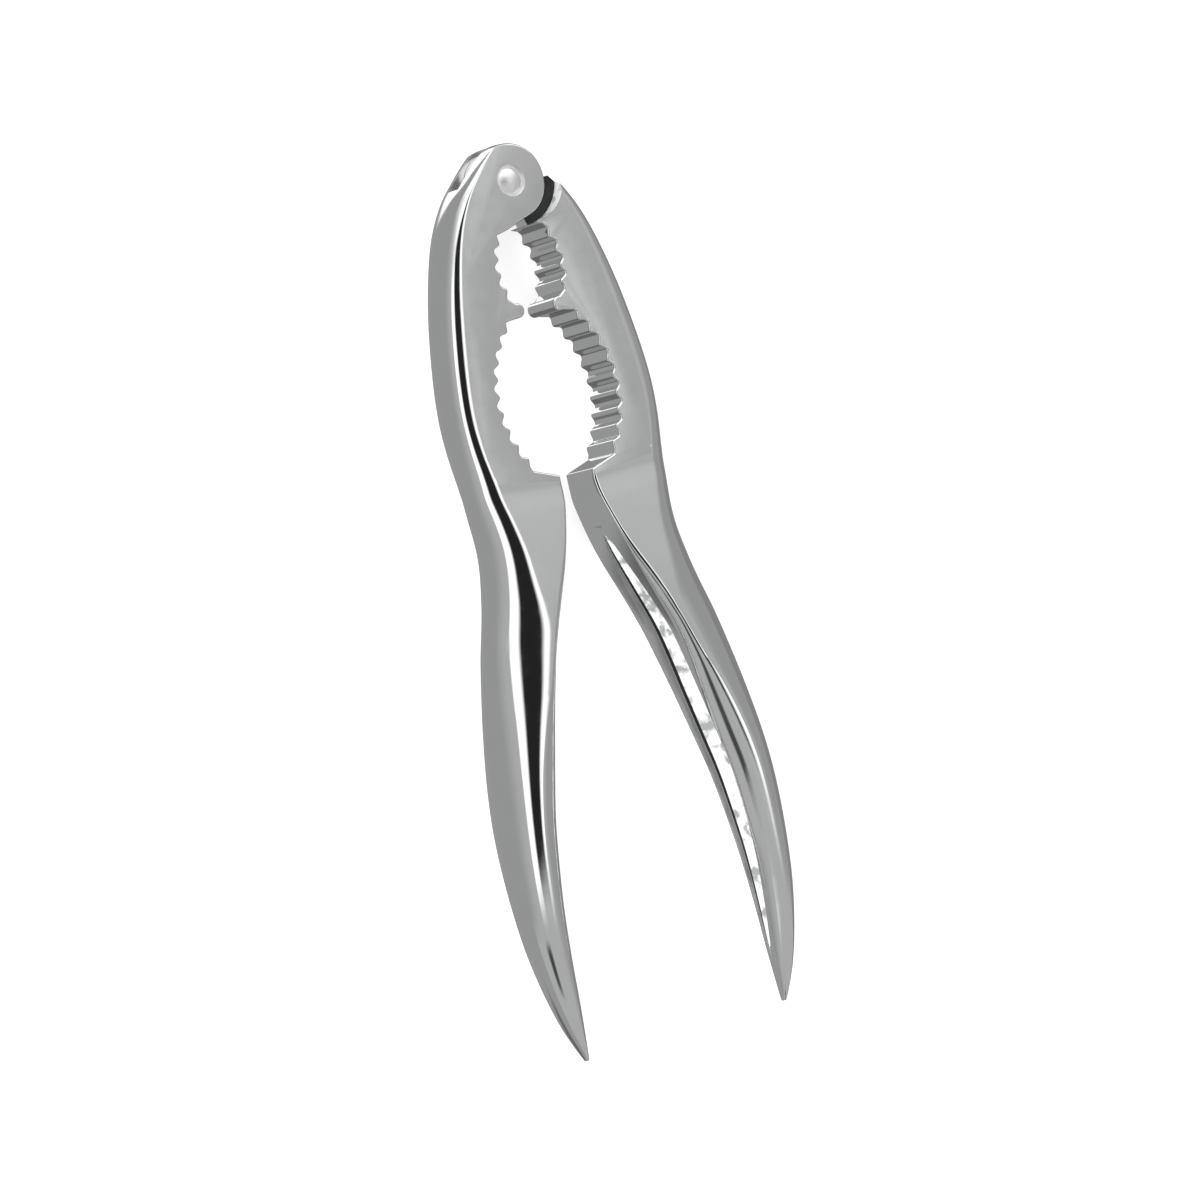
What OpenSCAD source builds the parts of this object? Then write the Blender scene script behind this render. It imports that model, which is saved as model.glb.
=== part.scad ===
// Hand nutcracker: two cast levers on one rivet. The levers lie in the XY plane with the
// head toward +Y and the handles toward -Y, and the rivet runs along Z. Each lever is drawn
// closed, its rivet at the origin and its own outer side toward +X, then swung open and
// lifted to its resting place.

/* [Head] */
// Radius of the round end of the head
head_r = 7.1; // [6.4:0.1:8.2]
// How far the middle of that round is set over from the rivet, away from the outer side
head_shift = 0.3; // [0:0.1:0.8]
// Radius of the edge of the head on the side of the other lever
head_edge_r = 0.5; // [0.3:0.1:1.2]
// Radius of the edge of the head on the outer side
head_rim_r = 2.4; // [1.2:0.1:3]
// Width of the slot between the two ears
slot_w = 3.5; // [2.8:0.1:4.2]
// Gap left on each side of the tongue in the slot
tongue_gap = 0.08; // [0.04:0.01:0.3]
// How far the round end of the tongue lies inside the round of the ears
tongue_inset = 0.9; // [0.5:0.1:1.6]
// How far the round floor of the slot lies beyond the round of the ears
slot_floor_gap = 0.2; // [0.1:0.05:0.4]
// Gap between the ears and the hollow shoulder that clears them
shoulder_gap = 2; // [1.7:0.1:2.6]

/* [Rivet] */
// Radius of the shank of the rivet
rivet_r = 2; // [1.6:0.1:2.5]
// Gap between the shank and the bore of the tongue
rivet_gap = 0.05; // [0.02:0.01:0.1]
// How far the domed ends of the rivet stand out past its shank
rivet_lip = 0.4; // [0.2:0.1:0.6]
// Height of each domed end
rivet_head_h = 0.6; // [0.4:0.1:0.9]
// Gap round the domed end in the round recess in each ear
recess_gap = 0.6; // [0.2:0.1:0.8]
// Depth of the recess
recess_depth = 0.5; // [0.3:0.1:0.8]

/* [Jaws] */
// Thickness of the jaws and of the head
jaw_t = 9; // [7.5:0.1:10.8]
// Distance from the centre line to the outer side of the jaws
jaw_reach = 20; // [19:0.5:24]
// Distance from the rivet to the top of the small nut hollow
throat = 9.7; // [9.6:0.1:12]
// Radius of the arc of the small nut hollow
small_r = 11.6; // [9.7:0.1:14]
// Distance from the centre line to the bottom of the small hollow
small_depth = 6.5; // [5.6:0.1:7.4]
// Number of teeth in the small hollow
small_teeth = 4; // [3:1:5]
// Radius of the arc of the large nut hollow
large_r = 20.1; // [17:0.1:24.2]
// Distance from the centre line to the bottom of the large hollow
large_depth = 11.1; // [9.3:0.1:12.4]
// Number of teeth in the large hollow
large_teeth = 9; // [8:1:10]
// Distance from one tooth to the next
tooth_pitch = 3.1; // [2.6:0.1:3.6]
// Height of the teeth
tooth_h = 0.95; // [0.6:0.05:1.2]
// Distance from the centre line to the point between the hollows
cusp_x = 1.75; // [1.2:0.05:2.4]
// Radius of that point
cusp_r = 1.35; // [1:0.05:1.6]
// Slope of the shelf below the large hollow
shelf_drop = 1.95; // [1:0.05:3]
// Length of the flat land that stops the levers
land_len = 4.4; // [3:0.1:6]
// Gap between the two lands when the levers are closed
land_gap = 0.3; // [0.2:0.05:0.6]

/* [Handles] */
// Length of a handle, from the land to the tip
handle_len = 105; // [88:0.5:126]
// Distance from the closed centre line to the outermost side of a handle
handle_bow = 23; // [21:0.5:27]
// Thickest part of a handle
handle_t = 14; // [12:0.5:16.5]
// Width of the rounded outer edge of the jaws
edge_w = 4; // [3:0.1:4.6]
// Depth of the channel along the inner side of a handle
channel_depth = 3.2; // [2:0.1:4]
// Width of the channel
channel_w = 7.6; // [5:0.1:9]

/* [Resting place] */
// Angle that each lever is swung open from the closed centre line
open_half_angle = 3.6; // [1:0.1:10]

/* [Hidden] */
$fn = 96;
jaw_h = jaw_t / 2;
small_step = tooth_pitch / small_r * 180 / PI;
large_step = tooth_pitch / (large_r - tooth_h) * 180 / PI;
small_span = small_step * small_teeth;
large_span = large_step * large_teeth;
small_x = small_depth - small_r;
small_y = -throat - small_r * sin(small_span / 2);
cusp_to_small = 1.65 * cusp_r;
cusp_to_large = 1.4 * cusp_r;
cusp_y = small_y - small_r * sin(small_span / 2) - cusp_to_small;
large_x = large_depth - large_r;
large_y = cusp_y - cusp_to_large - large_r * sin(large_span / 2);
land_y = large_y - large_r * sin(large_span / 2) - shelf_drop;
land_x = land_gap / 2;
tip_y = land_y - handle_len;
tongue_h = slot_w / 2 - tongue_gap;
tongue_r = head_r - tongue_inset;
slot_r = head_r + head_shift + slot_floor_gap;
shoulder_r = head_r + shoulder_gap;
shoulder_at = [0.35 * head_r, 0.09 * head_r];
rivet_head_r = rivet_r + rivet_lip;
recess_r = rivet_head_r + recess_gap;
ear_tangent = 240;
neck_top = -0.08 * head_r;
land_edge = 0.35;
slot_end = -0.06 * head_r;
overlap = 1;
seam = 0.02;
far = 60;
jaw_steps = 18;
handle_steps = 30;
seam_step = 0.5;
channel_steps = 22;
tooth_steps = 8;
head_steps = 16;
head_angle = 7.5;

// Smooth curve through the knots [y, value], whose y falls along the list
function knot_at(k, y, i = 0) = i >= len(k) - 2 || y >= k[i + 1][0] ? i : knot_at(k, y, i + 1);
function rise(k, i, j) = (k[j][1] - k[i][1]) / (k[j][0] - k[i][0]);
function slope(k, i) = rise(k, max(i - 1, 0), min(i + 1, len(k) - 1));
function blend(k, i, t, d) =
    (2 * t ^ 3 - 3 * t ^ 2 + 1) * k[i][1] + (t ^ 3 - 2 * t ^ 2 + t) * d * slope(k, i)
    + (3 * t ^ 2 - 2 * t ^ 3) * k[i + 1][1] + (t ^ 3 - t ^ 2) * d * slope(k, i + 1);
function curve(k, y) =
    let (i = knot_at(k, y), d = k[i + 1][0] - k[i][0])
    blend(k, i, (y - k[i][0]) / d, d);

// Knots of the jaws are shares of the length of the jaws, and those of the handle are
// shares of the length of the handle
function on_jaw(share) = share * land_y;
function on_handle(share) = land_y - share * handle_len;

// Outer side of a lever, seen from the front
outer_knots = concat(
    [[0.7 * head_r, 0.64 * head_r], [0.3 * head_r, 1.09 * head_r]],
    [for (k = [[0.04, 0.57], [0.15, 0.735], [0.3, 0.86], [0.48, 0.95], [0.7, 1], [0.88, 0.98]])
        [on_jaw(k[0]), k[1] * jaw_reach]],
    [for (k = [[0.03, 0.79], [0.12, 0.74], [0.2, 0.78], [0.3, 0.88], [0.42, 0.955], [0.55, 1],
               [0.66, 0.99], [0.78, 0.925], [0.87, 0.825], [0.94, 0.71], [1, 0.57]])
        [on_handle(k[0]), k[1] * handle_bow]]);

// Inner side of a handle
inner_knots = concat(
    [[land_y, land_x], [land_y - land_len, land_x]],
    [for (k = [[0.08, 0.04], [0.125, 0.09], [0.17, 0.15], [0.225, 0.235], [0.3, 0.345],
               [0.36, 0.4], [0.42, 0.44], [0.5, 0.495], [0.58, 0.55], [0.65, 0.575],
               [0.73, 0.59], [0.82, 0.58], [0.91, 0.555], [1, 0.54]])
        [on_handle(k[0]), k[1] * handle_bow]]);

// Width of the rounding from the outer side in to the highest line of the front face
round_knots = concat(
    [[0.7 * head_r, 0.3 * edge_w], [0.3 * head_r, 0.42 * edge_w]],
    [for (k = [[0.04, 0.6], [0.15, 0.75], [0.48, 1], [0.88, 1.05]]) [on_jaw(k[0]), k[1] * edge_w]],
    [for (k = [[0.05, 0.24], [0.11, 0.28], [0.17, 0.34], [0.225, 0.425], [0.26, 0.47], [0.3, 0.46],
               [0.36, 0.42], [0.42, 0.355], [0.5, 0.29], [0.58, 0.25], [0.73, 0.2], [0.87, 0.12],
               [1, 0.015]])
        [on_handle(k[0]), k[1] * handle_bow]]);

// Half of the thickness
height_knots = concat(
    [[head_r, jaw_h], [land_y, jaw_h]],
    [for (k = [[0.02, 0], [0.06, 0.2], [0.17, 0.62], [0.225, 0.8], [0.3, 0.93], [0.4, 1]])
        [on_handle(k[0]), jaw_h + k[1] * (handle_t / 2 - jaw_h)]],
    [for (k = [[0.5, 0.98], [0.58, 0.93], [0.68, 0.81], [0.78, 0.66], [0.87, 0.49], [0.94, 0.32],
               [0.985, 0.17], [1, 0.09]])
        [on_handle(k[0]), k[1] * handle_t / 2]]);

// Share of the front face and of the height that the inner edge's rounding takes
soft_knots = [for (k = [[0, 0.05], [0.11, 0.08], [0.17, 0.22], [0.225, 0.5], [0.27, 0.95], [1, 1]])
    [on_handle(k[0]), k[1]]];
drop_knots = [for (k = [[0, 0.05], [0.11, 0.08], [0.17, 0.16], [0.225, 0.3], [0.3, 0.42],
                        [0.42, 0.6], [0.6, 0.75], [0.9, 0.85], [1, 0.9]])
    [on_handle(k[0]), k[1]]];

// One closed ring of the lever's body at the height y: the outer half round, then the
// rounded front and back inner edges
function ring(y, inner, soft, drop) =
    let (x_out = curve(outer_knots, y), a = curve(round_knots, y), h = curve(height_knots, y),
         crest = x_out - a, a_in = soft * (crest - inner), b_in = drop * h)
    concat(
        [for (t = [-90:15:90]) [crest + a * cos(t), y, h * sin(t)]],
        [for (t = [108:18:180]) [inner + a_in + a_in * cos(t), y, h - b_in + b_in * sin(t)]],
        [for (t = [180:18:252]) [inner + a_in + a_in * cos(t), y, b_in - h + b_in * sin(t)]]);
function jaw_ring(y) = ring(y, curve(outer_knots, y) - curve(round_knots, y) - overlap, 0.1, 0.05);
function handle_ring(y) =
    ring(y, curve(inner_knots, y), curve(soft_knots, y), curve(drop_knots, y));

// Closed skin over rings that all have the same number of points
module skin(rings) {
    n = len(rings[0]);
    last = len(rings) - 1;
    sides = [for (i = [0:last - 1], j = [0:n - 1])
        let (a = i * n + j, b = i * n + (j + 1) % n)
        each [[a, b + n, b], [a, a + n, b + n]]];
    ends = [[for (j = [0:n - 1]) j], [for (j = [n - 1:-1:0]) last * n + j]];
    polyhedron([for (r = rings) each r], concat(ends, sides));
}

// Rounded outer rim from the head to the land, then the whole handle
module rim_and_handle() {
    top = outer_knots[0][0];
    bottom = land_y + seam_step;
    jaw_rings = [for (i = [0:jaw_steps]) jaw_ring(top + (bottom - top) * i / jaw_steps)];
    handle_rings = [for (i = [0:handle_steps]) handle_ring(land_y - handle_len * i / handle_steps)];
    skin(concat(jaw_rings, handle_rings));
}

// Toothed arc of a nut hollow, from its top to its bottom
function teeth(x, y, r, span, count) =
    [for (i = [0:count * tooth_steps])
        let (t = span / 2 - span * i / (count * tooth_steps),
             wave = (1 - cos(360 * i / tooth_steps)) / 2)
        [x + (r - tooth_h * wave) * cos(t), y + (r - tooth_h * wave) * sin(t)]];

// Inner side of the jaws, from the throat to the land
inner_side = concat(
    teeth(small_x, small_y, small_r, small_span, small_teeth),
    [for (t = [75:15:285]) [cusp_x + cusp_r + cusp_r * cos(t), cusp_y + cusp_r * sin(t)]],
    teeth(large_x, large_y, large_r, large_span, large_teeth),
    [[0.52 * large_depth, land_y + 0.75 * shelf_drop],
     [land_x + land_edge, land_y], [land_x, land_y - land_edge],
     [land_x, land_y - land_len]]);

// Outer side of the flat of the jaws, hidden in the rim
function flat_x(y) = curve(outer_knots, y) - curve(round_knots, y) + seam;
function flat_side(y_top) =
    [for (i = [12:-1:0]) let (y = y_top + (land_y - y_top) * i / 12) [flat_x(y), y]];

module jaw_flat(head_side, y_top) {
    translate([0, 0, -jaw_h])
        linear_extrude(jaw_t)
            polygon(concat(head_side, inner_side, flat_side(y_top)));
}

// Leaf-shaped channel along the inner side of the handle
module channel() {
    function leaf(s) = 0.04 + 0.96 * max(0, sin(180 * s ^ 0.8)) ^ 0.8;
    skin([for (i = [0:channel_steps])
        let (s = i / channel_steps, y = on_handle(0.1 + 0.82 * s), w = leaf(s) * channel_w / 2,
             d = leaf(s) * channel_depth, x = curve(inner_knots, y))
        concat([[x - overlap, y, -w]],
               [for (t = [-90:22.5:90]) [x + d * cos(t), y, w * sin(t)]],
               [[x - overlap, y, w]])]);
}

// Round head, whose rounded edge grows from the inner side to the outer side
module head_disc() {
    function edge(t) = head_edge_r + (head_rim_r - head_edge_r) * (1 + cos(t)) / 2;
    function inset(z, r) = r - sqrt(max(0, r ^ 2 - max(0, abs(z) - jaw_h + r) ^ 2));
    skin([for (i = [0:head_steps])
        let (z = -jaw_h * cos(180 * i / head_steps))
        [for (t = [0:head_angle:360 - head_angle])
            let (r = head_r - inset(z, edge(t))) [r * cos(t) - head_shift, r * sin(t), z]]]);
}

// Slot between the ears: round floor for the tongue, open to the outer side above it
module slot() {
    cylinder(h = slot_w, r = slot_r, center = true);
    translate([0, slot_end, -slot_w / 2])
        cube([far, far, slot_w]);
}

// Puts a closed lever at its resting place
module at_rest() {
    tip_low = curve(inner_knots, tip_y) * sin(open_half_angle) + tip_y * cos(open_half_angle);
    translate([0, -(head_r + tip_low) / 2, handle_t / 2])
        children();
}

module fork_lever() {
    ear_start = [head_r * cos(ear_tangent) - head_shift, head_r * sin(ear_tangent)];
    ear_end = [small_depth * 0.32, -throat + 0.87];
    color("silver")
        at_rest()
            mirror([1, 0, 0])
                rotate([0, 0, open_half_angle])
                    difference() {
                        union() {
                            rim_and_handle();
                            jaw_flat([[0, 0], ear_start, ear_end, [small_depth * 0.6, 0.25 - throat]], 0);
                            head_disc();
                        }
                        slot();
                        channel();
                        cylinder(h = 2 * jaw_t, r = rivet_r, center = true);
                        for (side = [-1, 1])
                            translate([0, 0, side * jaw_h])
                                cylinder(h = 2 * recess_depth, r = recess_r, center = true);
                    }
}

module tongue_lever() {
    corner = [small_depth * 0.43, -throat + 1.2];
    color("gainsboro")
        at_rest()
            rotate([0, 0, open_half_angle])
                difference() {
                    union() {
                        difference() {
                            union() {
                                rim_and_handle();
                                jaw_flat([[flat_x(0), 0], [0.35 * small_depth, -3], corner,
                                          [small_depth * 0.66, 0.7 - throat]], -1);
                            }
                            for (side = [-1, 1])
                                translate([shoulder_at[0], shoulder_at[1], side * (tongue_h + jaw_t)])
                                    cylinder(h = 2 * jaw_t, r = shoulder_r, center = true);
                            translate([-far, neck_top, -far / 2])
                                cube([2 * far, far, far]);
                        }
                        translate([0, 0, -tongue_h])
                            linear_extrude(2 * tongue_h)
                                polygon([[0, neck_top], [1.4 * head_r, neck_top],
                                         [1.4 * head_r, -0.56 * head_r], [0.6 * head_r, -1.2 * head_r],
                                         corner, [0.25 * head_r, -0.88 * tongue_r]]);
                        cylinder(h = 2 * tongue_h, r = tongue_r, center = true);
                    }
                    channel();
                    cylinder(h = 2 * jaw_t, r = rivet_r + rivet_gap, center = true);
                }
}

module rivet() {
    dome_steps = 6;
    shank = jaw_h - recess_depth;
    dome_r = (rivet_head_r ^ 2 + rivet_head_h ^ 2) / (2 * rivet_head_h);
    half_arc = asin(rivet_head_r / dome_r);
    dome = [for (i = [0:dome_steps]) let (t = half_arc * (1 - i / dome_steps))
        [dome_r * sin(t), shank + rivet_head_h - dome_r * (1 - cos(t))]];
    color("lightgrey")
        at_rest()
            rotate_extrude()
                polygon(concat(
                    [for (i = [dome_steps:-1:0]) [dome[i][0], -dome[i][1]]],
                    [[rivet_r, -shank], [rivet_r, shank]],
                    dome));
}

fork_lever();
tongue_lever();
rivet();
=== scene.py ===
"""Hand nutcracker: two chromed levers on one rivet, lying on a pale floor.

Shapes are drawn in millimetres in a lever's own closed frame, with the rivet at the origin,
the outer side toward +X and the handle toward -Y, then swung open and put at the rivet.
"""
import math

import bmesh
import bpy
from mathutils import Matrix, Vector


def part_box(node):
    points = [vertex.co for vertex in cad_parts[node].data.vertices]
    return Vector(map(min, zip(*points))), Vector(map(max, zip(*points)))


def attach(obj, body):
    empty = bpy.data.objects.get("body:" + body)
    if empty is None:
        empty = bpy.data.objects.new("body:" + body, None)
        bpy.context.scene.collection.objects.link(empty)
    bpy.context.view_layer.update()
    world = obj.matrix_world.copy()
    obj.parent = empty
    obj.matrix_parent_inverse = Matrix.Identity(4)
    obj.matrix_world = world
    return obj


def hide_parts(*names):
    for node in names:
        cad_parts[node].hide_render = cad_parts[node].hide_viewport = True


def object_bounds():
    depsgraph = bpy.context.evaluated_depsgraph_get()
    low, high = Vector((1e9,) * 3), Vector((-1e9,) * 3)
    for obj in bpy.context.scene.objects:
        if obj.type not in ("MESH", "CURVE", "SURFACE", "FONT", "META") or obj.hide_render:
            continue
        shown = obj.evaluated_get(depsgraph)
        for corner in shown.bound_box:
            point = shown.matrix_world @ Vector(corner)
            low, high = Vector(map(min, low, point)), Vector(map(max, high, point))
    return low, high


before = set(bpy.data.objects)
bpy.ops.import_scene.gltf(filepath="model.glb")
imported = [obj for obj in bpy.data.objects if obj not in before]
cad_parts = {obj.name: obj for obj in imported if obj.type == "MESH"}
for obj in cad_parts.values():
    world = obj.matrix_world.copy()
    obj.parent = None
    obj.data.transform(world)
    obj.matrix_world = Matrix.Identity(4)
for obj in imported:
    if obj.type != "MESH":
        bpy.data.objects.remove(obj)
cad_low, cad_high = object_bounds()

MM = 0.001
OPEN_HALF_ANGLE = math.radians(3.6)

# Head and rivet. The head's round runs between two angles, in degrees
HEAD_R = 7.1
HEAD_FROM, HEAD_TO = 60, 240
HEAD_TOP = 0.866 * HEAD_R
TONGUE_TOP = 0.3 * HEAD_R
HEAD_SHIFT = 0.3
HEAD_EDGE = 0.5
SLOT_W = 3.5
TONGUE_GAP = 0.08
TONGUE_R = HEAD_R - 0.9
SLOT_R = HEAD_R + HEAD_SHIFT + 0.2
SHOULDER_R = HEAD_R + 2
SHOULDER_AT = (0.35 * HEAD_R, 0.09 * HEAD_R)
NECK_TOP = -0.08 * HEAD_R
SLOT_END = -0.06 * HEAD_R
RIVET_R = 2.0
RIVET_GAP = 0.05
RIVET_HEAD_R = 2.4
RIVET_HEAD_H = 0.6
RECESS_R = 3.0
RECESS_DEPTH = 0.5

# Jaws
JAW_H = 4.5
JAW_REACH = 20.0
THROAT = 9.7
SMALL_R, SMALL_DEPTH, SMALL_TEETH = 11.6, 6.5, 4
LARGE_R, LARGE_DEPTH, LARGE_TEETH = 20.1, 11.1, 9
TOOTH_PITCH = 3.1
TOOTH_H = 0.95
CUSP_X, CUSP_R = 1.75, 1.35
SHELF_DROP = 1.95
LAND_X = 0.15
LAND_LEN = 4.4
EDGE_W = 4.0
EDGE_FILLET = 0.38

# Handles
HANDLE_LEN = 105.0
HANDLE_BOW = 23.0
HANDLE_H = 7.0
CHANNEL_DEPTH = 3.2
CHANNEL_W = 7.6

SMALL_SPAN = TOOTH_PITCH / SMALL_R * SMALL_TEETH
LARGE_SPAN = TOOTH_PITCH / (LARGE_R - TOOTH_H) * LARGE_TEETH
SMALL_X = SMALL_DEPTH - SMALL_R
SMALL_Y = -THROAT - SMALL_R * math.sin(SMALL_SPAN / 2)
CUSP_Y = SMALL_Y - SMALL_R * math.sin(SMALL_SPAN / 2) - 1.65 * CUSP_R
LARGE_X = LARGE_DEPTH - LARGE_R
LARGE_Y = CUSP_Y - 1.4 * CUSP_R - LARGE_R * math.sin(LARGE_SPAN / 2)
LAND_Y = LARGE_Y - LARGE_R * math.sin(LARGE_SPAN / 2) - SHELF_DROP
TONGUE_H = SLOT_W / 2 - TONGUE_GAP
JOIN_Y = LAND_Y - 1.0

CORNER_R = 0.45
CHANNEL_START = 0.1
CHANNEL_SPAN = 0.82
CHANNEL_EASE = 0.05

# Mesh density: points across a rounded edge and across a wall, then steps along each outline
ARC = 9
WALL = 17
ACROSS = 2 * ARC + WALL
RIM_STEPS = 90
HEAD_STEPS = 60
TOOTH_STEPS = 20
HANDLE_RINGS = 230


def lerp(a, b, t):
    return a + (b - a) * t


def eased(t):
    """0 to 1 with level ends, for t clamped to 0 to 1."""
    t = min(1.0, max(0.0, t))
    return t * t * (3 - 2 * t)


def curve(knots, y):
    """Smooth curve through the knots (y, value), whose y falls along the list."""
    i = 0
    while i < len(knots) - 2 and y < knots[i + 1][0]:
        i += 1

    def slope(j):
        a, b = max(j - 1, 0), min(j + 1, len(knots) - 1)
        return (knots[b][1] - knots[a][1]) / (knots[b][0] - knots[a][0])

    d = knots[i + 1][0] - knots[i][0]
    t = (y - knots[i][0]) / d
    return ((2 * t**3 - 3 * t**2 + 1) * knots[i][1] + (t**3 - 2 * t**2 + t) * d * slope(i)
            + (3 * t**2 - 2 * t**3) * knots[i + 1][1] + (t**3 - t**2) * d * slope(i + 1))


def on_jaw(shares, scale):
    """Knots from shares of the jaw's length and of the scale."""
    return [(s * LAND_Y, v * scale) for s, v in shares]


def on_handle(shares, scale):
    """Knots from shares of the handle's length and of the scale."""
    return [(LAND_Y - s * HANDLE_LEN, v * scale) for s, v in shares]


# Knots (y, value) down the lever: the outer edge, the inner edge, the width of the outer
# rounding, the half height, then the width and the drop of the inner rounding as shares
OUTER = [(HEAD_TOP, 0.5 * HEAD_R - HEAD_SHIFT), (0.68 * HEAD_R, 0.68 * HEAD_R),
         (TONGUE_TOP, 1.07 * HEAD_R)]
OUTER += on_jaw([(0.04, 0.57), (0.15, 0.735), (0.3, 0.86), (0.48, 0.95), (0.7, 1), (0.88, 0.98)],
                JAW_REACH)
OUTER += on_handle([(0.03, 0.79), (0.12, 0.74), (0.2, 0.78), (0.3, 0.88), (0.42, 0.955),
                    (0.55, 1), (0.66, 0.99), (0.78, 0.925), (0.87, 0.825), (0.94, 0.71),
                    (1, 0.57)], HANDLE_BOW)
INNER = [(LAND_Y, LAND_X), (LAND_Y - LAND_LEN, LAND_X)]
INNER += on_handle([(0.08, 0.04), (0.125, 0.09), (0.17, 0.15), (0.225, 0.235), (0.3, 0.345),
                    (0.36, 0.4), (0.42, 0.44), (0.5, 0.495), (0.58, 0.55), (0.65, 0.575),
                    (0.73, 0.59), (0.82, 0.58), (0.91, 0.555), (1, 0.54)], HANDLE_BOW)
ROUND = [(HEAD_TOP, 0.2 * EDGE_W), (TONGUE_TOP, 0.42 * EDGE_W)]
ROUND += on_jaw([(0.04, 0.6), (0.15, 0.75), (0.48, 1), (0.88, 1.05)], EDGE_W)
ROUND += on_handle([(0.05, 0.24), (0.11, 0.28), (0.17, 0.34), (0.225, 0.425), (0.26, 0.47),
                    (0.3, 0.46), (0.36, 0.42), (0.42, 0.355), (0.5, 0.29), (0.58, 0.25),
                    (0.73, 0.2), (0.87, 0.12), (1, 0.015)], HANDLE_BOW)
HEIGHT = [(HEAD_R, JAW_H), (LAND_Y, JAW_H)]
HEIGHT += [(y, JAW_H + v) for y, v in
           on_handle([(0.02, 0), (0.06, 0.2), (0.17, 0.62), (0.225, 0.8), (0.3, 0.93), (0.4, 1)],
                     HANDLE_H - JAW_H)]
HEIGHT += on_handle([(0.5, 0.98), (0.58, 0.93), (0.68, 0.81), (0.78, 0.66), (0.87, 0.49),
                     (0.94, 0.32), (0.985, 0.17), (1, 0.09)], HANDLE_H)
SOFT = on_handle([(0, 0.05), (0.11, 0.08), (0.17, 0.22), (0.225, 0.5), (0.27, 0.95), (1, 1)], 1)
DROP = on_handle([(0, 0.05), (0.11, 0.08), (0.17, 0.16), (0.225, 0.3), (0.3, 0.42), (0.42, 0.6),
                  (0.6, 0.75), (0.9, 0.85), (1, 0.9)], 1)


# ---------------------------------------------------------------- materials
def noise(nodes, links, scale, detail, vector):
    n = nodes.new("ShaderNodeTexNoise")
    n.inputs["Scale"].default_value = scale
    n.inputs["Detail"].default_value = detail
    links.new(vector, n.inputs["Vector"])
    return n.outputs["Fac"]


def ranged(nodes, links, value, low, high, from_low=0.3, from_high=0.7):
    m = nodes.new("ShaderNodeMapRange")
    m.inputs["From Min"].default_value = from_low
    m.inputs["From Max"].default_value = from_high
    m.inputs["To Min"].default_value = low
    m.inputs["To Max"].default_value = high
    links.new(value, m.inputs["Value"])
    return m.outputs["Result"]


def metal(name, colour, rough, waves, grain, metallic=1.0, spots=(160, 0.94, 0.0, 1.0)):
    """Metal whose roughness varies between two values. waves and grain are bump layers,
    each (scale per metre, height in metres). spots: scale per metre, how dark the darkest
    are, and the range of the noise over which they fade out."""
    mat = bpy.data.materials.new(name)
    mat.use_nodes = True
    nodes, links = mat.node_tree.nodes, mat.node_tree.links
    shader = nodes["Principled BSDF"]
    shader.inputs["Metallic"].default_value = metallic
    where = nodes.new("ShaderNodeTexCoord").outputs["Object"]
    spot_scale, darkest, fade_low, fade_high = spots
    tone = noise(nodes, links, spot_scale, 5, where)
    mix = nodes.new("ShaderNodeMix")
    mix.data_type = "RGBA"
    mix.inputs["A"].default_value = [c * darkest for c in colour] + [1]
    mix.inputs["B"].default_value = list(colour) + [1]
    links.new(ranged(nodes, links, tone, 0.0, 1.0, fade_low, fade_high), mix.inputs["Factor"])
    links.new(mix.outputs["Result"], shader.inputs["Base Color"])
    links.new(ranged(nodes, links, noise(nodes, links, 420, 6, where), *rough),
              shader.inputs["Roughness"])
    normal = None
    for scale, height in (waves, grain):
        bump = nodes.new("ShaderNodeBump")
        bump.inputs["Distance"].default_value = height
        bump.inputs["Strength"].default_value = 1.0
        links.new(noise(nodes, links, scale, 3, where), bump.inputs["Height"])
        if normal:
            links.new(normal, bump.inputs["Normal"])
        normal = bump.outputs["Normal"]
    links.new(normal, shader.inputs["Normal"])
    return mat


SLOTS = (
    metal("chrome", (0.80, 0.81, 0.81), (0.035, 0.09), (90, 2e-5), (1500, 6e-7)),
    metal("cast_channel", (0.95, 0.96, 0.96), (0.3, 0.5), (900, 1.2e-4), (3200, 4e-5),
          metallic=0.2, spots=(420, 0.4, 0.36, 0.5)),
    # near-black slot: painted shade in the bores, on the floors and cut faces round the tongue,
    # and a painted dark line along the channel's lips
    metal("recess_painted_shade", (0.045, 0.047, 0.05), (0.35, 0.5), (700, 3e-5), (3000, 1e-5)),
    metal("peened_rivet", (0.9, 0.9, 0.9), (0.28, 0.45), (700, 6e-5), (2600, 1e-5),
          metallic=0.85),
    # rougher, darker metal along the channel's lips: a satin finish with a painted grey band of
    # reflection
    metal("satin_lip_painted_grey", (0.5, 0.51, 0.51), (0.3, 0.42), (300, 2e-5), (2600, 3e-6)),
    metal("chrome_flat", (0.69, 0.7, 0.7), (0.17, 0.23), (90, 2e-5), (1500, 3e-7)),
)
CHROME, CAST, PAINTED_SHADE, PEENED, SATIN_PAINTED_GREY, FLAT = range(len(SLOTS))


# ---------------------------------------------------------------- profiles across an edge
def full_round(width, height, power=2.0):
    """(inset, z) from the front crest to the back crest of a half ellipse. A power above 2
    makes it squarer."""
    out = []
    for i in range(ACROSS):
        t = math.pi / 2 - math.pi * i / (ACROSS - 1)
        c, s = max(0.0, math.cos(t)), math.sin(t)
        out.append((width * (1 - c**(2 / power)),
                    math.copysign(height * abs(s)**(2 / power), s)))
    return out


def small_edges(radius, height):
    """(inset, z) of a straight wall between two rounded edges."""
    out = []
    for i in range(ARC):
        t = math.pi / 2 * (1 - i / (ARC - 1))
        out.append((radius * (1 - math.cos(t)), height - radius + radius * math.sin(t)))
    wall = height - radius
    for i in range(WALL):
        out.append((0.0, wall * (1 - 2 * (i + 1) / (WALL + 1))))
    return out + [(w, -z) for w, z in reversed(out[:ARC])]


def mixed(a, b, share):
    return [(lerp(p[0], q[0], share), lerp(p[1], q[1], share)) for p, q in zip(a, b)]


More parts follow.
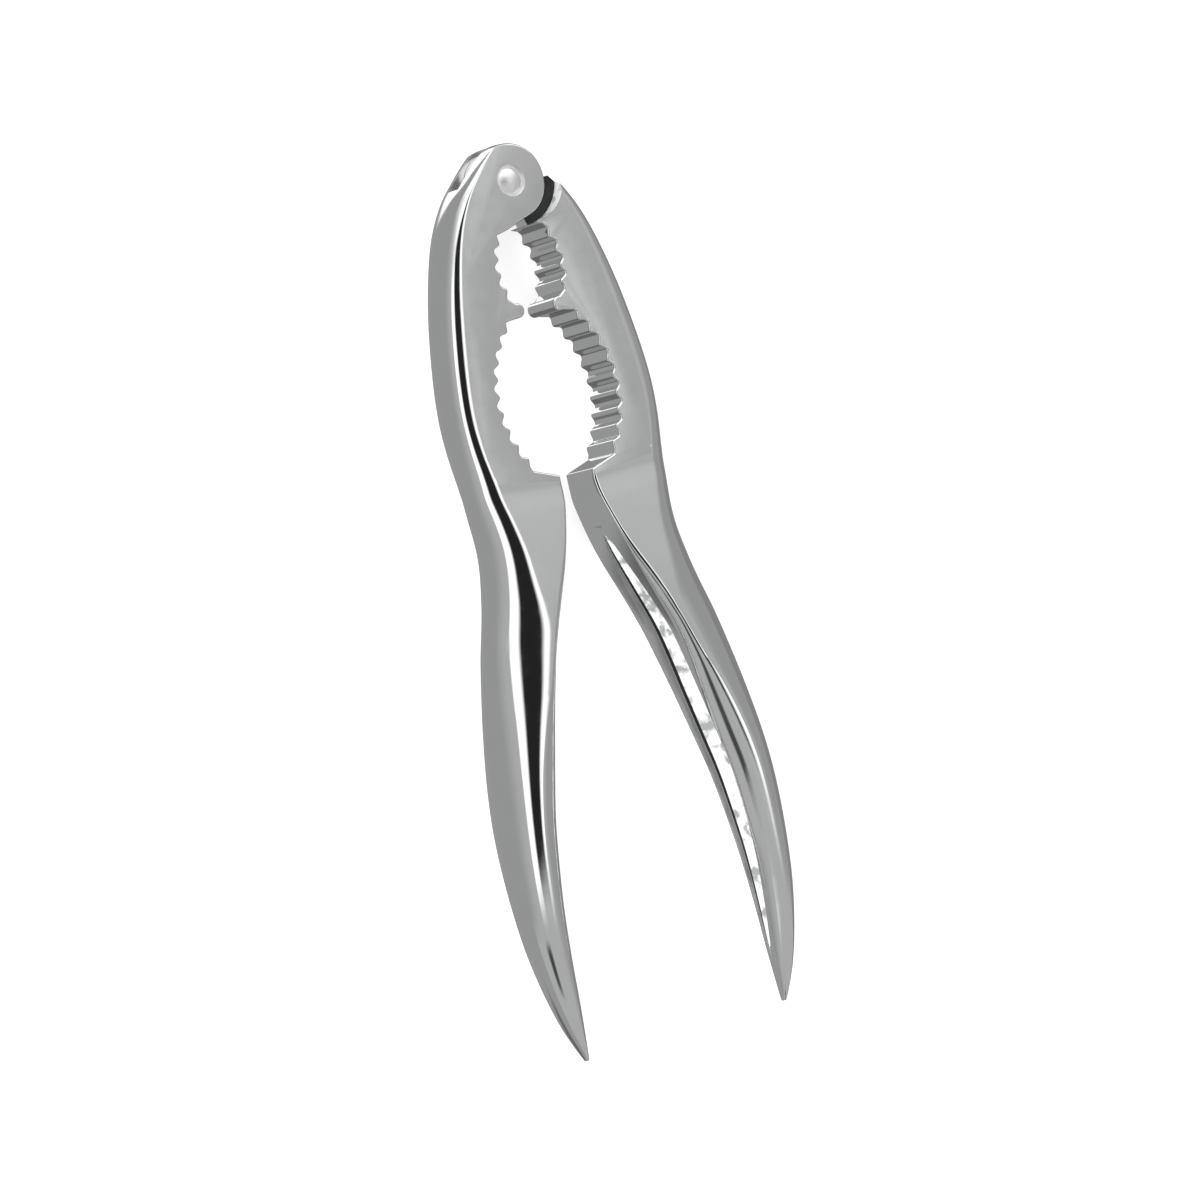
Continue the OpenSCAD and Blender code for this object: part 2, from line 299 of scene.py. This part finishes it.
# ---------------------------------------------------------------- outline of the jaws
def arc_points(cx, cy, r, start, end, step):
    n = max(2, math.ceil(abs(end - start) / step))
    return [(cx + r * math.cos(math.radians(lerp(start, end, i / n))),
             cy + r * math.sin(math.radians(lerp(start, end, i / n)))) for i in range(n + 1)]


def toothed(cx, cy, r, span, count):
    """Arc of a hollow, with one wave for each tooth."""
    points = []
    for i in range(count * TOOTH_STEPS + 1):
        t = span / 2 - span * i / (count * TOOTH_STEPS)
        wave = (1 - math.cos(2 * math.pi * i / TOOTH_STEPS)) / 2
        points.append((cx + (r - TOOTH_H * wave) * math.cos(t),
                       cy + (r - TOOTH_H * wave) * math.sin(t)))
    return points


def rounded_corners(points, radius, least_turn=25):
    """Cuts each corner that turns by at least least_turn degrees with a short arc."""
    out = [points[0]]
    for i in range(1, len(points) - 1):
        a, p, b = Vector(points[i - 1]), Vector(points[i]), Vector(points[i + 1])
        u, v = (a - p), (b - p)
        turn = 180 - math.degrees(u.angle(v))
        if turn < least_turn:
            out.append(points[i])
            continue
        cut = min(radius * math.tan(math.radians(turn) / 2), 0.45 * u.length, 0.45 * v.length)
        s, e = p + u.normalized() * cut, p + v.normalized() * cut
        for k in range(7):
            t = k / 6
            q = s * (1 - t)**2 + p * 2 * t * (1 - t) + e * t**2
            out.append((q.x, q.y))
    out.append(points[-1])
    return out


def jaw_inner_side():
    nose = arc_points(CUSP_X + CUSP_R, CUSP_Y, CUSP_R, 75, 285, 9)
    small = toothed(SMALL_X, SMALL_Y, SMALL_R, SMALL_SPAN, SMALL_TEETH)
    large = toothed(LARGE_X, LARGE_Y, LARGE_R, LARGE_SPAN, LARGE_TEETH)
    shelf = [(0.52 * LARGE_DEPTH, LAND_Y + 0.75 * SHELF_DROP), (LAND_X, LAND_Y)]
    return small + nose + large + shelf + [(LAND_X, JOIN_Y)]


def inward_normals(path):
    """Unit normals to the left of the path, which is the side that the metal is on."""
    normals = []
    for i in range(len(path)):
        a, b = Vector(path[max(i - 1, 0)]), Vector(path[min(i + 1, len(path) - 1)])
        d = (b - a).normalized()
        normals.append(Vector((-d.y, d.x)))
    return normals


def station(point, normal, profile):
    return [Vector((point[0] + normal[0] * w, point[1] + normal[1] * w, z)) for w, z in profile]


def rim_stations(y_top):
    """Outer side of the jaws, from the join up to y_top, with its rounding inset toward -X."""
    out = []
    for i in range(RIM_STEPS + 1):
        y = lerp(JOIN_Y, y_top, i / RIM_STEPS)
        out.append(station((curve(OUTER, y), y), (-1, 0),
                           full_round(curve(ROUND, y), curve(HEIGHT, y), power_at(y))))
    return out


def power_at(y):
    """Squareness of the outer rounding: plain at the handle, squarer along the jaw."""
    return lerp(2.0, 2.5, eased((y - LAND_Y - 1) / 12))


def side_stations(path):
    """Stations of a wall with small rounded edges, along the path."""
    path = rounded_corners(path, CORNER_R)
    normals = inward_normals(path)
    return [station(p, q, small_edges(EDGE_FILLET, JAW_H)) for p, q in zip(path, normals)]


def fork_jaw_stations():
    stations = rim_stations(HEAD_TOP)
    head = []
    for i in range(1, HEAD_STEPS + 1):
        t = HEAD_FROM + (HEAD_TO - HEAD_FROM) * i / HEAD_STEPS
        a = math.radians(t)
        point = (HEAD_R * math.cos(a) - HEAD_SHIFT, HEAD_R * math.sin(a))
        share = eased((t - HEAD_FROM) / 90)
        turn = min(1, (t - HEAD_FROM) / 40)
        normal = Vector((lerp(-1, -math.cos(a), turn), lerp(0, -math.sin(a), turn))).normalized()
        edge = lerp(curve(ROUND, HEAD_TOP), HEAD_EDGE, share)
        profile = mixed(full_round(edge, JAW_H, power_at(HEAD_TOP)), small_edges(edge, JAW_H),
                        share)
        head.append(station(point, normal, profile))
    end = math.radians(HEAD_TO)
    ear = (HEAD_R * math.cos(end) - HEAD_SHIFT, HEAD_R * math.sin(end))
    lower = [ear, (0.32 * SMALL_DEPTH, 0.87 - THROAT), (0.6 * SMALL_DEPTH, 0.25 - THROAT)]
    return stations + head + side_stations(lower + jaw_inner_side())[1:]


def tongue_jaw_stations():
    stations = rim_stations(TONGUE_TOP)
    top = stations[-1][ACROSS // 2]
    path = [(top.x - 3, top.y), (0.3 * SMALL_DEPTH, -1.5), (0.43 * SMALL_DEPTH, 1.2 - THROAT),
            (0.66 * SMALL_DEPTH, 0.7 - THROAT)]
    return stations + side_stations(path + jaw_inner_side())


# ---------------------------------------------------------------- handle
def along_channel(y):
    """0 at the channel's upper end and 1 at its lower end."""
    return ((LAND_Y - y) / HANDLE_LEN - CHANNEL_START) / CHANNEL_SPAN


def leaf(s):
    return max(0.0, math.sin(math.pi * s**0.8))**0.8 * min(1.0, s / CHANNEL_EASE)


def in_channel(y):
    s = along_channel(y)
    return 0.02 < s < 0.985 and leaf(s) > 0.12


def handle_ring(y):
    """Outer half ellipse, then the inner side with its channel."""
    x_out, x_in = curve(OUTER, y), curve(INNER, y)
    a, h = curve(ROUND, y), curve(HEIGHT, y)
    outer = station((x_out, y), (-1, 0), full_round(a, h))
    a_in = curve(SOFT, y) * (x_out - a - x_in)
    b_in = curve(DROP, y) * h
    s = along_channel(y)
    depth = half_width = 0.0
    if 0 < s < 1:
        depth, half_width = leaf(s) * CHANNEL_DEPTH, leaf(s) * CHANNEL_W / 2
    flat = h - b_in

    def side_x(z):
        over = max(0.0, (abs(z) - flat) / b_in)
        return x_in + a_in * (1 - math.sqrt(max(0.0, 1 - over * over)))

    lip = max(half_width, 0.12) if 0 < s < 1 else 0.8 * flat
    front = []
    lip_t = math.asin(max(0.0, min(1.0, (lip - flat) / b_in)))
    for i in range(ARC):
        t = lerp(math.pi / 2, lip_t, i / (ARC - 1))
        front.append(Vector((x_in + a_in * (1 - math.cos(t)), y, flat + b_in * math.sin(t))))
    wall = []
    lip_z = front[-1].z if lip > flat else lip
    for i in range(WALL):
        t = math.pi / 2 * (1 - 2 * i / (WALL - 1))
        z = lip_z * math.sin(t)
        x = side_x(z)
        if depth:
            x = lerp(side_x(lip_z), x_in + depth, math.cos(t)**0.8 if math.cos(t) > 0 else 0)
        wall.append(Vector((x, y, z)))
    back = [Vector((p.x, p.y, -p.z)) for p in reversed(front)]
    return list(reversed(outer)), front + wall + back


# ---------------------------------------------------------------- mesh helpers
def lever_mesh(name, jaw):
    """One closed mesh: a strip along the outline of the jaws, flat faces, and the handle."""
    bm = bmesh.new()
    strips = [[bm.verts.new(p) for p in s] for s in jaw]
    for a, b in zip(strips, strips[1:]):
        for i in range(ACROSS - 1):
            bm.faces.new((a[i], b[i], b[i + 1], a[i + 1]))
    front = [s[0] for s in strips]
    back = [s[-1] for s in strips]
    bm.faces.new(front)
    bm.faces.new(list(reversed(back)))
    # rings of the handle, which share their first ring with the ends of the strip
    first = list(reversed(strips[0])) + strips[-1]
    rings = [first]
    for i in range(1, HANDLE_RINGS + 1):
        y = lerp(JOIN_Y, LAND_Y - HANDLE_LEN, i / HANDLE_RINGS)
        outer, inner = handle_ring(y)
        rings.append([bm.verts.new(p) for p in outer + inner])
    n = len(first)
    for r, q in zip(rings, rings[1:]):
        for i in range(n):
            j = (i + 1) % n
            face = bm.faces.new((r[i], r[j], q[j], q[i]))
            # channel wall from each lip: two strips of painted grey, one strip of painted shade
            # as a dark reflection line, then the cast floor
            k = i - ACROSS - ARC
            if 0 <= k < WALL - 1 and in_channel(r[i].co.y):
                from_lip = min(k, WALL - 2 - k, 3)
                face.material_index = (SATIN_PAINTED_GREY, SATIN_PAINTED_GREY, PAINTED_SHADE, CAST)[from_lip]
    bm.faces.new(rings[-1])
    bmesh.ops.remove_doubles(bm, verts=bm.verts, dist=1e-4)
    bmesh.ops.triangulate(bm, faces=[f for f in bm.faces if len(f.verts) > 4],
                          ngon_method="EAR_CLIP")
    bmesh.ops.recalc_face_normals(bm, faces=bm.faces)
    return to_object(name, bm)


def to_object(name, bm, materials=SLOTS):
    mesh = bpy.data.meshes.new(name)
    for material in materials:
        mesh.materials.append(material)
    bm.to_mesh(mesh)
    bm.free()
    obj = bpy.data.objects.new(name, mesh)
    bpy.context.scene.collection.objects.link(obj)
    return obj


def prism(name, outline, low, high, walls=PAINTED_SHADE, ends=PAINTED_SHADE):
    """Straight prism. walls and ends are the slots of its sides and of its two ends; by default
    both are the near-black slot of painted shade.
    """
    bm = bmesh.new()
    bottom = [bm.verts.new((x, y, low)) for x, y in outline]
    top = [bm.verts.new((x, y, high)) for x, y in outline]
    n = len(outline)
    for i in range(n):
        j = (i + 1) % n
        bm.faces.new((bottom[i], bottom[j], top[j], top[i])).material_index = walls
    for end in (top, list(reversed(bottom))):
        bm.faces.new(end).material_index = ends
    bmesh.ops.recalc_face_normals(bm, faces=bm.faces)
    return to_object(name, bm)


def circle(cx, cy, r, step=2.5):
    return arc_points(cx, cy, r, 0, 360 - step, step)


def combine(obj, other, operation):
    """Applies one boolean and removes the other object."""
    modifier = obj.modifiers.new("cut", "BOOLEAN")
    modifier.object = other
    modifier.operation = operation
    modifier.solver = "MANIFOLD"
    depsgraph = bpy.context.evaluated_depsgraph_get()
    mesh = bpy.data.meshes.new_from_object(obj.evaluated_get(depsgraph))
    obj.modifiers.clear()
    old = obj.data
    obj.data = mesh
    bpy.data.meshes.remove(old)
    bpy.data.objects.remove(other)


# ---------------------------------------------------------------- pieces
rivet_low, rivet_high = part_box("rivet")
pivot = (rivet_low + rivet_high) / 2
# Upward share of a face's normal from which it counts as flat, and a length past the part
LEVEL = 0.99995
FAR = 60


def place(obj, mirrored, angle=40):
    """Swings a closed lever open, puts it at the rivet, and makes metres of millimetres."""
    m = Matrix.Rotation(OPEN_HALF_ANGLE, 4, "Z")
    if mirrored:
        m = Matrix.Scale(-1, 4, (1, 0, 0)) @ m
    obj.data.transform(Matrix.Translation(pivot) @ Matrix.Scale(MM, 4) @ m)
    if mirrored:
        obj.data.flip_normals()
    obj.data.shade_smooth()
    for face in obj.data.polygons:
        if abs(face.normal.z) > LEVEL:
            face.use_smooth = False
            if face.material_index == CHROME and obj.data.materials[CHROME] == SLOTS[CHROME]:
                face.material_index = FLAT
    obj.data.set_sharp_from_angle(angle=math.radians(angle))
    return obj


fork = lever_mesh("fork_lever_shown", fork_jaw_stations())
slot_mouth = [(0, SLOT_END), (FAR, SLOT_END), (FAR, FAR), (0, FAR)]
for outline in (circle(0, 0, SLOT_R, 2), slot_mouth):
    combine(fork, prism("slot", outline, -SLOT_W / 2, SLOT_W / 2, CHROME, CHROME), "DIFFERENCE")
for side in (-1, 1):
    combine(fork, prism("recess", circle(0, 0, RECESS_R, 3), side * JAW_H - RECESS_DEPTH,
                        side * JAW_H + RECESS_DEPTH, CHROME, PEENED), "DIFFERENCE")
# the bore's walls and ends take the near-black slot: painted shade
combine(fork, prism("bore", circle(0, 0, RIVET_R, 5), -FAR, FAR), "DIFFERENCE")

tongue = lever_mesh("tongue_lever_shown", tongue_jaw_stations())
for side in (-1, 1):
    # the floors of the shoulder cuts beside the tongue take the near-black slot: painted shade
    low, high = sorted((side * TONGUE_H, side * 2 * JAW_H))
    combine(tongue, prism("shoulder", circle(*SHOULDER_AT, SHOULDER_R, 1.5), low, high,
                          CAST, PAINTED_SHADE), "DIFFERENCE")
# the cut faces at the neck, the neck's and the disc's flat ends and the bore take the near-black
# slot: painted shade
combine(tongue, prism("top", [(-FAR, NECK_TOP), (FAR, NECK_TOP), (FAR, FAR), (-FAR, FAR)],
                      -FAR, FAR), "DIFFERENCE")
corner = (0.43 * SMALL_DEPTH, 1.2 - THROAT)
neck = [(0, NECK_TOP), (0.25 * HEAD_R, -0.88 * TONGUE_R), corner, (0.6 * HEAD_R, -1.2 * HEAD_R),
        (1.4 * HEAD_R, -0.56 * HEAD_R), (1.4 * HEAD_R, NECK_TOP)]
combine(tongue, prism("neck", neck, -TONGUE_H, TONGUE_H, CHROME), "UNION")
combine(tongue, prism("disc", circle(0, 0, TONGUE_R, 2), -TONGUE_H, TONGUE_H, CHROME), "UNION")
combine(tongue, prism("bore", circle(0, 0, RIVET_R + RIVET_GAP, 5), -FAR, FAR), "DIFFERENCE")


def rivet_object():
    """Shank with a domed head at each end, turned from one profile."""
    shank = JAW_H - RECESS_DEPTH
    dome_r = (RIVET_HEAD_R**2 + RIVET_HEAD_H**2) / (2 * RIVET_HEAD_H)
    half = math.asin(RIVET_HEAD_R / dome_r)
    dome = []
    steps = 14
    for i in range(steps + 1):
        t = half * (1 - i / steps)
        dome.append((dome_r * math.sin(t), shank + RIVET_HEAD_H - dome_r * (1 - math.cos(t))))
    profile = [(RIVET_R, shank)] + dome
    profile = [(r, -z) for r, z in reversed(profile)] + profile
    bm = bmesh.new()
    turns = 96
    rings = []
    for r, z in profile:
        if r < 1e-6:
            rings.append([bm.verts.new((0, 0, z))])
        else:
            rings.append([bm.verts.new((r * math.cos(2 * math.pi * k / turns),
                                        r * math.sin(2 * math.pi * k / turns), z))
                          for k in range(turns)])
    for a, b in zip(rings, rings[1:]):
        for k in range(turns):
            j = (k + 1) % turns
            if len(a) == 1:
                bm.faces.new((a[0], b[j], b[k]))
            elif len(b) == 1:
                bm.faces.new((a[k], a[j], b[0]))
            else:
                bm.faces.new((a[k], a[j], b[j], b[k]))
    bmesh.ops.recalc_face_normals(bm, faces=bm.faces)
    return to_object("rivet_shown", bm, (SLOTS[PEENED],))


rivet = rivet_object()
place(fork, True)
place(tongue, False)
place(rivet, False, 50)

for piece, node, body in ((fork, "fork_lever", "fork_side"), (rivet, "rivet", "fork_side"),
                          (tongue, "tongue_lever", "tongue_side")):
    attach(piece, body)
    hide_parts(node)


# ---------------------------------------------------------------- floor, light and camera
# Metres, and positions and directions from the rivet
FLOOR_GAP = 0.0003
FLOOR_HALF = 6
FLOOR_GLOW = 0.74
# Brightness of the bands, and of the backdrop as the camera sees it
WHITE, BLACK, BACKDROP = 1.4, 0.02, 0.95
KEY_WAY = (-0.83, -0.1, 0.55)
KEY_DISTANCE, KEY_SIZE, KEY_WATTS = 1.2, 0.5, 13.0
SENSOR_MM, LENS_MM = 36, 132
CAMERA_AT = (-0.45255, -0.06587, 0.66411)
CAMERA_BACK = (-0.56474, 0.01505, 0.82513)
CAMERA_UP = (0.18865, 0.97571, 0.11132)


def floor_material():
    mat = bpy.data.materials.new("pale_floor")
    mat.use_nodes = True
    shader = mat.node_tree.nodes["Principled BSDF"]
    shader.inputs["Base Color"].default_value = (0.6, 0.6, 0.6, 1)
    shader.inputs["Roughness"].default_value = 0.9
    shader.inputs["Specular IOR Level"].default_value = 0.0
    shader.inputs["Emission Color"].default_value = (1, 1, 1, 1)
    shader.inputs["Emission Strength"].default_value = FLOOR_GLOW
    return mat


bm = bmesh.new()
bmesh.ops.create_grid(bm, x_segments=1, y_segments=1, size=FLOOR_HALF)
floor = to_object("floor", bm, (floor_material(),))
floor.location.z = cad_low.z - FLOOR_GAP
floor.visible_glossy = False


def studio():
    """Soft light from all round, as bands that the chrome reflects."""
    world = bpy.data.worlds.new("studio")
    bpy.context.scene.world = world
    world.use_nodes = True
    nodes, links = world.node_tree.nodes, world.node_tree.links
    background = nodes["Background"]
    way = nodes.new("ShaderNodeTexCoord").outputs["Generated"]
    split = nodes.new("ShaderNodeSeparateXYZ")
    links.new(way, split.inputs["Vector"])
    x, y, z = split.outputs

    def calculate(operation, a, b):
        node = nodes.new("ShaderNodeMath")
        node.operation = operation
        for socket, value in zip(node.inputs, (a, b)):
            if isinstance(value, (int, float)):
                socket.default_value = value
            else:
                links.new(value, socket)
        return node.outputs[0]

    def negative(value):
        return calculate("MULTIPLY", value, -1.0)

    def smooth(value, low, high):
        node = nodes.new("ShaderNodeMapRange")
        node.interpolation_type = "SMOOTHSTEP"
        node.inputs["From Min"].default_value = low
        node.inputs["From Max"].default_value = high
        links.new(value, node.inputs["Value"])
        return node.outputs["Result"]

    def all_of(*shares):
        total = shares[0]
        for share in shares[1:]:
            total = calculate("MULTIPLY", total, share)
        return total

    def between(value, low, high, soft):
        """1 inside the range, easing to 0 at its two ends."""
        return all_of(smooth(value, low, low + soft), smooth(negative(value), -high, soft - high))

    def over(base, brightness, share):
        """The base with another brightness laid over it."""
        rest = calculate("SUBTRACT", 1.0, share)
        return calculate("ADD", calculate("MULTIPLY", share, brightness),
                         calculate("MULTIPLY", base, rest))

    # angle across the tool: 0 is up, positive toward the fork lever's side
    across = calculate("MULTIPLY", calculate("ARCTAN2", negative(x), z), 180 / math.pi)
    above = smooth(z, -0.05, 0.1)
    below = calculate("SUBTRACT", 1.0, above)
    middle = between(y, -0.28, 0.42, 0.1)

    # greys of the room
    level = over(0.37, 0.50, between(across, -60, 90, 45))
    level = over(level, 0.50, between(across, -50, -18, 6))
    level = over(level, 0.62, all_of(between(across, -60, -10, 12), smooth(y, 0.0, 0.26)))
    level = over(level, 0.50, all_of(above, smooth(negative(y), 0.2, 0.3)))
    # a dark strip between two white ones overhead, and a dark patch past the handles
    level = over(level, WHITE, all_of(middle, between(across, -30, 41, 4)))
    level = over(level, BLACK, all_of(middle, between(across, -23, 22, 8)))
    level = over(level, 0.07, all_of(between(y, -0.50, -0.29, 0.07), between(across, 25, 58, 11)))
    # white past the head, above and below
    level = over(level, WHITE, all_of(above, smooth(y, 0.32, 0.42), smooth(x, -0.75, -0.2)))
    level = over(level, WHITE, all_of(below, smooth(y, 0.42, 0.52), between(x, -0.16, 0.3, 0.08)))
    # darker under the tool
    far_below = smooth(negative(z), 0.5, 0.7)
    level = over(level, 0.16, all_of(far_below, smooth(negative(y), 0.33, 0.45)))
    level = over(level, 0.27, all_of(below, smooth(x, 0.3, 0.5)))
    seen = nodes.new("ShaderNodeLightPath").outputs["Is Camera Ray"]
    level = over(level, BACKDROP, seen)
    links.new(level, background.inputs["Strength"])
    background.inputs["Color"].default_value = (1, 1, 1, 1)


studio()


def key_light():
    """Soft light that fills the rough surfaces and leaves no spot in the polished ones."""
    data = bpy.data.lights.new("key", "AREA")
    data.shape = "DISK"
    data.size = KEY_SIZE
    data.energy = KEY_WATTS
    key = bpy.data.objects.new("key", data)
    bpy.context.scene.collection.objects.link(key)
    way = Vector(KEY_WAY).normalized()
    key.location = pivot + way * KEY_DISTANCE
    key.rotation_euler = way.to_track_quat("Z", "Y").to_euler()
    key.visible_glossy = False
    key.visible_camera = False


key_light()
bpy.context.scene.view_settings.view_transform = "Standard"


def camera():
    """Long lens, above and to the left of the tool."""
    data = bpy.data.cameras.new("camera")
    data.sensor_width = SENSOR_MM
    data.lens = LENS_MM
    cam = bpy.data.objects.new("camera", data)
    bpy.context.scene.collection.objects.link(cam)
    back = Vector(CAMERA_BACK).normalized()
    right = Vector(CAMERA_UP).cross(back).normalized()
    up = back.cross(right)
    rotation = Matrix((right, up, back)).transposed().to_4x4()
    cam.matrix_world = Matrix.Translation(pivot + Vector(CAMERA_AT)) @ rotation
    bpy.context.scene.camera = cam


camera()

bpy.context.view_layer.update()
